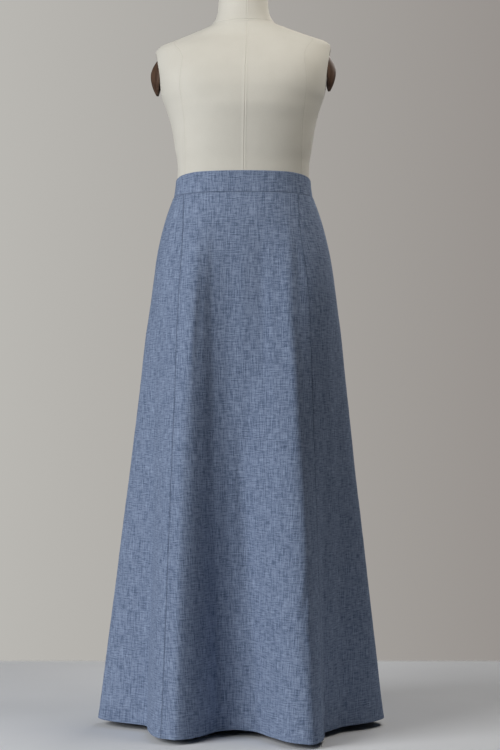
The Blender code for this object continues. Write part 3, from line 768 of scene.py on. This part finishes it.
def cover_form():
    """The form's cloth-covered body and neck, with columns that follow its seams."""
    steps = np.array(COVER_SEAM_STEPS)
    low, high = FORM_SECTIONS[0][0], FORM_SECTIONS[-1][0]
    ring = NECK_SEAM + np.concatenate([-steps[:0:-1], steps])
    heights = np.arange(low, high + COVER_ROW_STEP / 2, COVER_ROW_STEP)
    heights = heights[np.abs(heights - NECK_SEAM) > steps[-1] + COVER_ROW_STEP / 2]
    heights = np.unique(np.concatenate([heights, ring, [high]]))
    counts = [
        max(2, round((math.radians(gap) * COVER_RADIUS - 2 * steps[-1]) / COVER_COLUMN_STEP))
        for gap in np.diff(cover_seams(COVER_COUNTED_AT))
    ]
    rows, seam_rows = [], []
    for height in heights:
        seams = cover_seams(height)
        sizes = section(FORM_SECTIONS, height)
        bearings, distances = [], []
        for k, count in enumerate(counts):
            gap = seams[k + 1] - seams[k]
            reach = np.degrees(steps / ring_radius(seams[k], *sizes))
            reach *= min(1, COVER_NARROW * gap / reach[-1])
            between = np.linspace(reach[-1], gap - reach[-1], count + 1)[1:-1]
            offsets = np.concatenate([reach, between, gap - reach[:0:-1]])
            bearings.append(seams[k] + offsets)
            distances.append(np.radians(np.minimum(offsets, gap - offsets)))
        bearing = np.concatenate(bearings)
        radius = ring_radius(bearing, *sizes)
        distance = np.concatenate(distances) * radius
        lift = cover_profile(distance)
        lift = np.where(abs(height - NECK_SEAM) < steps[-1] * 2, np.maximum(lift, 0) * 0.5, lift)
        lift = lift + cover_profile(abs(height - NECK_SEAM))
        points = at_bearing(radius + lift, bearing, height)
        points[:, 2] += shoulder_rise(points[:, 0], height)
        rows.append(points)
        across = min(1.0, abs(height - NECK_SEAM) / NECK_SEAM_SHADE)
        seam_rows.append(np.maximum(np.exp(-((distance / COVER_SEAM_SHADE) ** 2)), 1 - across))
    grid = np.array(rows)
    count, columns = grid.shape[:2]
    ids = np.arange(count * columns).reshape(count, columns)
    closed = np.hstack([ids, ids[:, :1]])
    faces = quads(closed[::-1]).tolist() + [ids[0][::-1].tolist(), ids[-1].tolist()]
    body = finish_mesh("form_cover", grid.reshape(-1, 3), faces, sharp=60)
    set_attribute(body, "seam", np.array(seam_rows))
    return body


def deselect_all():
    for each in bpy.context.selected_objects:
        each.select_set(False)


def make_active(piece):
    deselect_all()
    piece.select_set(True)
    bpy.context.view_layer.objects.active = piece


def apply_place(piece, name):
    """Names a modelled piece and applies its place, turn and size to its mesh."""
    piece.name = piece.data.name = name
    make_active(piece)
    bpy.ops.object.transform_apply(location=True, rotation=True, scale=True)
    return piece


def round_edges(piece, width, segments=3, angle=30):
    """Rounds the piece's sharp edges and shades it smooth."""
    make_active(piece)
    bevel = piece.modifiers.new("rounding", "BEVEL")
    bevel.width = width
    bevel.segments = segments
    bevel.limit_method = "ANGLE"
    bevel.angle_limit = math.radians(angle)
    bpy.ops.object.modifier_apply(modifier=bevel.name)
    bpy.ops.object.shade_smooth_by_angle(angle=math.radians(angle))
    return piece


def plate_place(side):
    """Where an arm plate sits: its flat back in the form, its dome facing out."""
    x, y, z = side * PLATE_PLACE[0], PLATE_PLACE[1], PLATE_PLACE[2]
    turn = Matrix.Rotation(side * (math.pi / 2 - PLATE_TILT), 4, "Y")
    return Matrix.Translation(Vector((x, y, z + SHOULDER_TILT * x))) @ turn


def shape_plate(side, name):
    """An oval domed plate, drawn up from its outline ring by ring."""
    deselect_all()
    bpy.ops.mesh.primitive_circle_add(
        vertices=PLATE_SIDES, radius=1, fill_type="NGON", location=(0, 0, 0)
    )
    plate = bpy.context.object
    dome = np.array(PLATE_DOME_STEPS)[::-1]
    radii = np.linspace(1, dome[0][0], PLATE_RINGS)
    rises = PLATE_DOME * read_curve(dome[:, 0], dome[:, 1], radii)
    bpy.ops.object.mode_set(mode="EDIT")
    bpy.ops.mesh.extrude_region_move(TRANSFORM_OT_translate={"value": (0, 0, PLATE_THICKNESS)})
    for k in range(1, PLATE_RINGS):
        lift = (0, 0, rises[k] - rises[k - 1])
        bpy.ops.mesh.extrude_region_move(TRANSFORM_OT_translate={"value": lift})
        narrower = radii[k] / radii[k - 1]
        bpy.ops.transform.resize(value=(narrower, narrower, 1))
    bpy.ops.mesh.select_all(action="SELECT")
    bpy.ops.mesh.normals_make_consistent(inside=False)
    bpy.ops.object.mode_set(mode="OBJECT")
    plate.scale = (PLATE_HEIGHT / 2, PLATE_DEPTH / 2, 1)
    bpy.ops.object.transform_apply(location=False, rotation=False, scale=True)
    round_edges(plate, PLATE_ROUNDING, angle=40)
    plate.matrix_world = plate_place(side)
    return apply_place(plate, name)


def cut_recess(body, side):
    """Cuts the shallow oval recess that an arm plate sits in."""
    deselect_all()
    depth = PLATE_THICKNESS + RECESS_DEPTH + PLATE_DOME + CAP_LIFT
    bpy.ops.mesh.primitive_cylinder_add(
        vertices=PLATE_SIDES, radius=1, depth=depth, location=(0, 0, depth / 2 - CAP_LIFT)
    )
    cutter = bpy.context.object
    bpy.ops.object.transform_apply(location=True, rotation=False, scale=False)
    cutter.scale = (PLATE_HEIGHT / 2 + RECESS_GAP, PLATE_DEPTH / 2 + RECESS_GAP, 1)
    bpy.ops.object.transform_apply(location=False, rotation=False, scale=True)
    cutter.matrix_world = plate_place(side)
    make_active(body)
    cut = body.modifiers.new("recess", "BOOLEAN")
    cut.object = cutter
    cut.operation = "DIFFERENCE"
    cut.solver = "EXACT"
    bpy.ops.object.modifier_apply(modifier=cut.name)
    bpy.data.objects.remove(cutter)


def shape_neck_cap():
    """The flat oval cap on the neck, its rim rounded."""
    height, half_width, front, back, _ = FORM_SECTIONS[-1]
    deselect_all()
    bpy.ops.mesh.primitive_cylinder_add(
        vertices=96, radius=1, depth=CAP_THICKNESS,
        location=(0, (back - front) / 2, height + CAP_LIFT + CAP_THICKNESS / 2),
    )
    cap = bpy.context.object
    cap.scale = (half_width, (front + back) / 2, 1)
    apply_place(cap, "neck_cap_turned")
    return round_edges(cap, CAP_ROUNDING, segments=4)


def shape_pole():
    """The stand's tube, from the cross base up to the form."""
    low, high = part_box("stand_pole")
    deselect_all()
    bpy.ops.mesh.primitive_cylinder_add(
        vertices=64, radius=POLE_RADIUS, depth=high.z - low.z, location=(0, 0, (high.z + low.z) / 2)
    )
    return round_edges(apply_place(bpy.context.object, "stand_tube"), POLE_ROUNDING)


class Value:
    """A number on its way through a finish's nodes. Sums on it add Math nodes."""

    def __init__(self, nodes, socket):
        self.nodes, self.socket = nodes, socket

    def maths(self, operation, *terms):
        return self.nodes.add("ShaderNodeMath", {"operation": operation}, dict(enumerate(terms)))

    def __add__(self, other):
        return self.maths("ADD", self, other)

    def __sub__(self, other):
        return self.maths("SUBTRACT", self, other)

    def __rsub__(self, other):
        return self.maths("SUBTRACT", other, self)

    def __mul__(self, other):
        return self.maths("MULTIPLY", self, other)

    def __truediv__(self, other):
        return self.maths("DIVIDE", self, other)

    __radd__, __rmul__ = __add__, __mul__

    def floor(self):
        return self.maths("FLOOR", self)

    def sine(self):
        return self.maths("SINE", self)

    def size(self):
        return self.maths("ABSOLUTE", self)

    def odd(self):
        return self.maths("MODULO", self.size(), 2)

    def between(self, low, high):
        """0 below low and 1 above high, smooth between them."""
        return self.nodes.add(
            "ShaderNodeMapRange",
            {"interpolation_type": "SMOOTHSTEP"},
            {"Value": self, "From Min": low, "From Max": high},
        )


class Nodes:
    """The nodes of one finish, with the shader's even values set on its own sockets."""

    def __init__(self, tree):
        self.tree = tree
        tree.nodes.clear()

    def add(self, kind, settings=None, sockets=None, output=0):
        """A node with its settings, then the values or links of its sockets."""
        node = self.tree.nodes.new(kind)
        for name, value in (settings or {}).items():
            setattr(node, name, value)
        for key, value in (sockets or {}).items():
            if isinstance(value, Value):
                self.tree.links.new(value.socket, node.inputs[key])
            else:
                node.inputs[key].default_value = value
        return Value(self, node.outputs[output]) if node.outputs else None

    def vector(self, x, y, z=0.0):
        return self.add("ShaderNodeCombineXYZ", None, {0: x, 1: y, 2: z})

    def axes(self, vector):
        """The three numbers of a vector."""
        split = self.add("ShaderNodeSeparateXYZ", None, {0: vector})
        return [Value(self, output) for output in split.socket.node.outputs]

    def noise(self, vector, scale=1.0, detail=2.0, roughness=0.5):
        return self.add(
            "ShaderNodeTexNoise",
            {"noise_dimensions": "3D"},
            {"Vector": vector, "Scale": scale, "Detail": detail, "Roughness": roughness},
        )

    def blend(self, share, first, second):
        """A colour between two, by a share from 0 to 1."""
        sockets = {0: share, 6: colour(first), 7: colour(second)}
        return self.add("ShaderNodeMix", {"data_type": "RGBA"}, sockets, output=2)

    def bump(self, height, distance, strength=1.0):
        sockets = {"Height": height, "Distance": distance, "Strength": strength}
        return self.add("ShaderNodeBump", None, sockets)


def colour(value):
    return value if isinstance(value, Value) else (*value, 1.0)


def new_finish(name):
    made = bpy.data.materials.new(name)
    made.use_nodes = True
    return made, Nodes(made.node_tree)


def close_finish(nodes, sockets):
    """Adds the Principled shader and the output."""
    shader = nodes.add("ShaderNodeBsdfPrincipled", None, sockets)
    nodes.add("ShaderNodeOutputMaterial", None, {"Surface": shader})


LINEN_DEEP = (0.072, 0.105, 0.182)
LINEN_PALE = (0.282, 0.351, 0.496)
# painted shade laid on the linen along its seams
LINEN_SEAM_SHADOW = (0.055, 0.078, 0.130)
LINEN_PALENESS = 0.47
LINEN_WEAVE = 0.16
LINEN_SLUBS = (
    # name, noise across a thread, along it, what sets it apart, detail, weight
    ("warp slub", 0.27, 0.024, 0.0, 1.0, 1.25),
    ("warp long", 0.20, 0.012, 7.0, 1.0, 0.50),
    ("weft slub", 0.036, 0.26, 3.0, 1.0, 1.20),
    ("weft long", 0.018, 0.21, 11.0, 1.0, 0.45),
    ("fleck", 0.28, 0.26, 5.0, 1.0, 0.60),
    ("cloudy", 0.012, 0.008, 9.0, 2.0, 0.25),
)
THREAD_DEEP, THREAD_PALE = (0.10, 0.15, 0.26), (0.19, 0.25, 0.38)
COVER_DEEP, COVER_PALE = (0.572, 0.554, 0.496), (0.670, 0.656, 0.600)
COVER_SEAM = (0.40, 0.375, 0.31)
WOOD_DEEP, WOOD_PALE = (0.052, 0.028, 0.018), (0.120, 0.070, 0.046)
STEEL_BARE, STEEL_DUSTY = (0.020, 0.020, 0.021), (0.050, 0.050, 0.052)
FLOOR_DEEP, FLOOR_PALE = (0.735, 0.755, 0.790), (0.790, 0.810, 0.845)
# painted light on the ground behind: its lit left and its shaded right
WALL_LIT, WALL_SHADED = (0.490, 0.479, 0.451), (0.314, 0.292, 0.275)
WALL_SPAN = 0.27
GLOW = (0.95, 0.97, 1.0, 1.0)
GLOW_STRENGTH = 0.04
LIGHTS = (
    # name, place, target, size, power, tint, spread
    ("window", (-2.42, -1.80, 1.50), (0, 0, 0.85), (1.9, 1.9), 91, (0.99, 0.99, 0.985), 180),
    ("room", (0.95, -0.35, 2.35), (0, 0, 1.0), (1.0, 1.0), 12.5, (1.0, 0.94, 0.855), 180),
    ("reflector", (0.75, -1.45, 1.40), (0, 0, 1.5), (0.5, 0.5), 0.68, (1.0, 0.96, 0.90), 54),
    ("behind", (1.0, 1.6, 2.3), (0, 0, 0.7), (1.4, 1.4), 17, (1.0, 0.975, 0.94), 180),
)


def linen_finish():
    """Blue chambray linen: a blue warp and a pale weft, each with slubs, in plain weave."""
    made, nodes = new_finish("blue chambray linen")
    uv = nodes.add("ShaderNodeUVMap", {"uv_map": "cloth"})
    x, y, _ = nodes.axes(uv)
    across, along = x / THREAD, y / THREAD
    over = (across.floor() + along.floor()).odd()
    warp_round, weft_round = (across * math.pi).sine().size(), (along * math.pi).sine().size()
    threads = over * warp_round + (1 - over) * weft_round
    slubs, pale = {}, LINEN_PALENESS
    for name, by_across, by_along, apart, detail, weight in LINEN_SLUBS:
        place = nodes.vector(across * by_across, along * by_along, apart)
        slubs[name] = nodes.noise(place, detail=detail)
        pale = pale + (slubs[name] - 0.5) * weight
    pale = pale + (0.5 - over) * LINEN_WEAVE
    shade = nodes.blend(pale, LINEN_DEEP, LINEN_PALE)
    # painted shade: darker along the seams, standing in for the shadow in the seams' ditch
    seam = nodes.add("ShaderNodeAttribute", {"attribute_name": "seam"}, None, output=2)
    seam_shaded = nodes.blend(seam * 0.50, shade, LINEN_SEAM_SHADOW)
    slubbed = slubs["warp slub"] * 0.6 + slubs["weft slub"] * 0.6 + slubs["fleck"] * 0.3
    height = threads * 0.5 + slubbed
    close_finish(nodes, {
        "Base Color": seam_shaded,
        "Roughness": 0.86,
        "Specular IOR Level": 0.18,
        "Sheen Weight": 0.10,
        "Sheen Roughness": 0.55,
        "Sheen Tint": (0.60, 0.74, 1.0, 1.0),
        "Normal": nodes.bump(height, 0.00015, 0.28),
    })
    return made


def thread_finish():
    """Sewing thread, a shade lighter than the linen, with its twist."""
    made, nodes = new_finish("sewing thread")
    place = nodes.add("ShaderNodeTexCoord", output=3)
    x, y, z = nodes.axes(place)
    twist = ((x + z * 0.6) * 9000).sine()
    close_finish(nodes, {
        "Base Color": nodes.blend(twist * 0.2 + 0.5, THREAD_DEEP, THREAD_PALE),
        "Roughness": 0.6,
        "Specular IOR Level": 0.3,
        "Normal": nodes.bump(twist, 0.00005),
    })
    return made


def cover_finish():
    """The form's ivory cotton cover: fine cloth, a little uneven, darker in its seams."""
    made, nodes = new_finish("ivory cotton cover")
    place = nodes.add("ShaderNodeTexCoord", output=3)
    grain = nodes.noise(place, scale=900.0, detail=2.0)
    mottle = nodes.noise(place, scale=26.0, detail=3.0)
    soil = nodes.noise(place, scale=7.0, detail=2.0)
    share = (mottle - 0.5) * 0.5 + (grain - 0.5) * 0.60 + (soil - 0.5) * 0.5 + 0.5
    base = nodes.blend(share, COVER_DEEP, COVER_PALE)
    seam = nodes.add("ShaderNodeAttribute", {"attribute_name": "seam"}, None, output=2)
    close_finish(nodes, {
        "Base Color": nodes.blend(seam * 0.16, base, COVER_SEAM),
        "Roughness": 0.9,
        "Specular IOR Level": 0.2,
        "Sheen Weight": 0.12,
        "Sheen Roughness": 0.5,
        "Normal": nodes.bump(grain, 0.00012, 0.5),
    })
    return made


def wood_finish():
    """Brown stained wood with an upright grain under a satin lacquer."""
    made, nodes = new_finish("brown stained wood")
    place = nodes.add("ShaderNodeTexCoord", output=3)
    x, y, z = nodes.axes(place)
    grain = nodes.noise(nodes.vector(x * 160, y * 160, z * 11), detail=4.0, roughness=0.6)
    pores = nodes.noise(nodes.vector(x * 900, y * 900, z * 60), detail=1.0)
    share = grain.between(0.32, 0.70)
    base = nodes.blend(share, WOOD_DEEP, WOOD_PALE)
    close_finish(nodes, {
        "Base Color": base,
        "Roughness": 0.46 + (pores - 0.5) * 0.25,
        "Specular IOR Level": 0.25,
        "Normal": nodes.bump(grain * 0.6 + pores * 0.4, 0.00012, 0.6),
    })
    return made


def steel_finish():
    """Black powder-coated steel, faintly pebbled."""
    made, nodes = new_finish("black coated steel")
    place = nodes.add("ShaderNodeTexCoord", output=3)
    pebbles = nodes.noise(place, scale=1100.0, detail=2.0)
    dust = nodes.noise(place, scale=24.0, detail=3.0)
    close_finish(nodes, {
        "Base Color": nodes.blend(dust.between(0.45, 0.75), STEEL_BARE, STEEL_DUSTY),
        "Roughness": 0.42 + (dust - 0.5) * 0.3,
        "Metallic": 0.0,
        "Normal": nodes.bump(pebbles, 0.00010, 0.5),
    })
    return made


def floor_finish():
    """A plain pale floor whose edge melts away."""
    made, nodes = new_finish("pale floor")
    place = nodes.add("ShaderNodeTexCoord", output=3)
    x, y, _ = nodes.axes(place)
    reach = x.maths("MAXIMUM", x.size(), y.size())
    mottle = nodes.noise(place, scale=5.0, detail=3.0)
    close_finish(nodes, {
        "Base Color": nodes.blend(mottle, FLOOR_DEEP, FLOOR_PALE),
        "Roughness": 0.9,
        "Specular IOR Level": 0.15,
        "Alpha": 1 - reach.between(FLOOR_HALF - FLOOR_FADE, FLOOR_HALF),
    })
    return made


def dress(piece, finish):
    """Gives a piece its one material."""
    piece.data.materials.clear()
    piece.data.materials.append(finish)


def build_skirt(linen, thread):
    for name, start, end, waist, quarter, hem, held in PANELS:
        panel = sew_panel(name, start, end)
        dress(panel, linen)
        stitches = stitch_hem(name, start, end)
        dress(stitches, thread)
        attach(panel, "root")
        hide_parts(name)
        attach(stitches, "root")
    for name, start, end, width, height, held in BANDS:
        band = sew_band(name, start, end)
        dress(band, linen)
        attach(band, "root")
        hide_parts(name)


def build_form(cover, wood, steel):
    body = cover_form()
    for side in (1, -1):
        cut_recess(body, side)
    dress(body, cover)
    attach(body, "root")
    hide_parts("form_body")
    hard = [
        (shape_plate(1, "arm_plate_left_domed"), "arm_plate_left", wood, "stained_wood"),
        (shape_plate(-1, "arm_plate_right_domed"), "arm_plate_right", wood, "stained_wood"),
        (shape_neck_cap(), "neck_cap", wood, "stained_wood"),
        (shape_pole(), "stand_pole", steel, "stand_steel"),
    ]
    for piece, node, finish, slot in hard:
        dress(piece, finish)
        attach(piece, "root")
        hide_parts(node)
    dress(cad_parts["stand_base"], steel)
    return body


def add_light(name, place, target, size, power, tint, spread):
    """A soft rectangular light that faces a point, with its beam's spread in degrees."""
    lamp = bpy.data.lights.new(name, "AREA")
    lamp.shape = "RECTANGLE"
    lamp.size, lamp.size_y = size
    lamp.energy = power
    lamp.color = tint
    lamp.spread = math.radians(spread)
    made = bpy.data.objects.new(name, lamp)
    made.location = place
    made.rotation_euler = (Vector(target) - Vector(place)).to_track_quat("-Z", "Y").to_euler()
    bpy.context.scene.collection.objects.link(made)


def set_stage():
    """Floor, lights, the room's even light and the plain ground behind, with painted light: lit on
    its left, shaded on its right.
    """
    deselect_all()
    bpy.ops.mesh.primitive_plane_add(size=2 * FLOOR_HALF, location=(0, 0, 0))
    floor = bpy.context.object
    floor.name = floor.data.name = "floor"
    dress(floor, floor_finish())
    for light in LIGHTS:
        add_light(*light)
    world = bpy.data.worlds.new("room")
    bpy.context.scene.world = world
    world.use_nodes = True
    nodes = Nodes(world.node_tree)
    glow = nodes.add("ShaderNodeBackground", None, {"Color": GLOW, "Strength": GLOW_STRENGTH})
    x, _, _ = nodes.axes(nodes.add("ShaderNodeTexCoord"))
    # painted light: the ground behind goes from lit on the left to shaded on the right
    ground = nodes.blend((x + WALL_SPAN / 2) / WALL_SPAN, WALL_LIT, WALL_SHADED)
    behind = nodes.add("ShaderNodeBackground", None, {"Color": ground, "Strength": 1.0})
    seen = nodes.add("ShaderNodeLightPath")
    both = nodes.add("ShaderNodeMixShader", None, {0: seen, 1: glow, 2: behind})
    nodes.add("ShaderNodeOutputWorld", None, {"Surface": both})


def set_camera():
    """The photo's view: level, straight from the front, about a hand above knee height."""
    lens = bpy.data.cameras.new("camera")
    lens.sensor_width = 36
    lens.lens = CAMERA_LENS
    lens.shift_x, lens.shift_y = CAMERA_SHIFT
    camera = bpy.data.objects.new("camera", lens)
    camera.location = CAMERA_PLACE
    camera.rotation_euler = (math.pi / 2, 0, 0)
    bpy.context.scene.collection.objects.link(camera)
    bpy.context.scene.camera = camera
    bpy.context.scene.view_settings.view_transform = "Standard"


form = build_form(cover_finish(), wood_finish(), steel_finish())
build_skirt(linen_finish(), thread_finish())
set_stage()
set_camera()
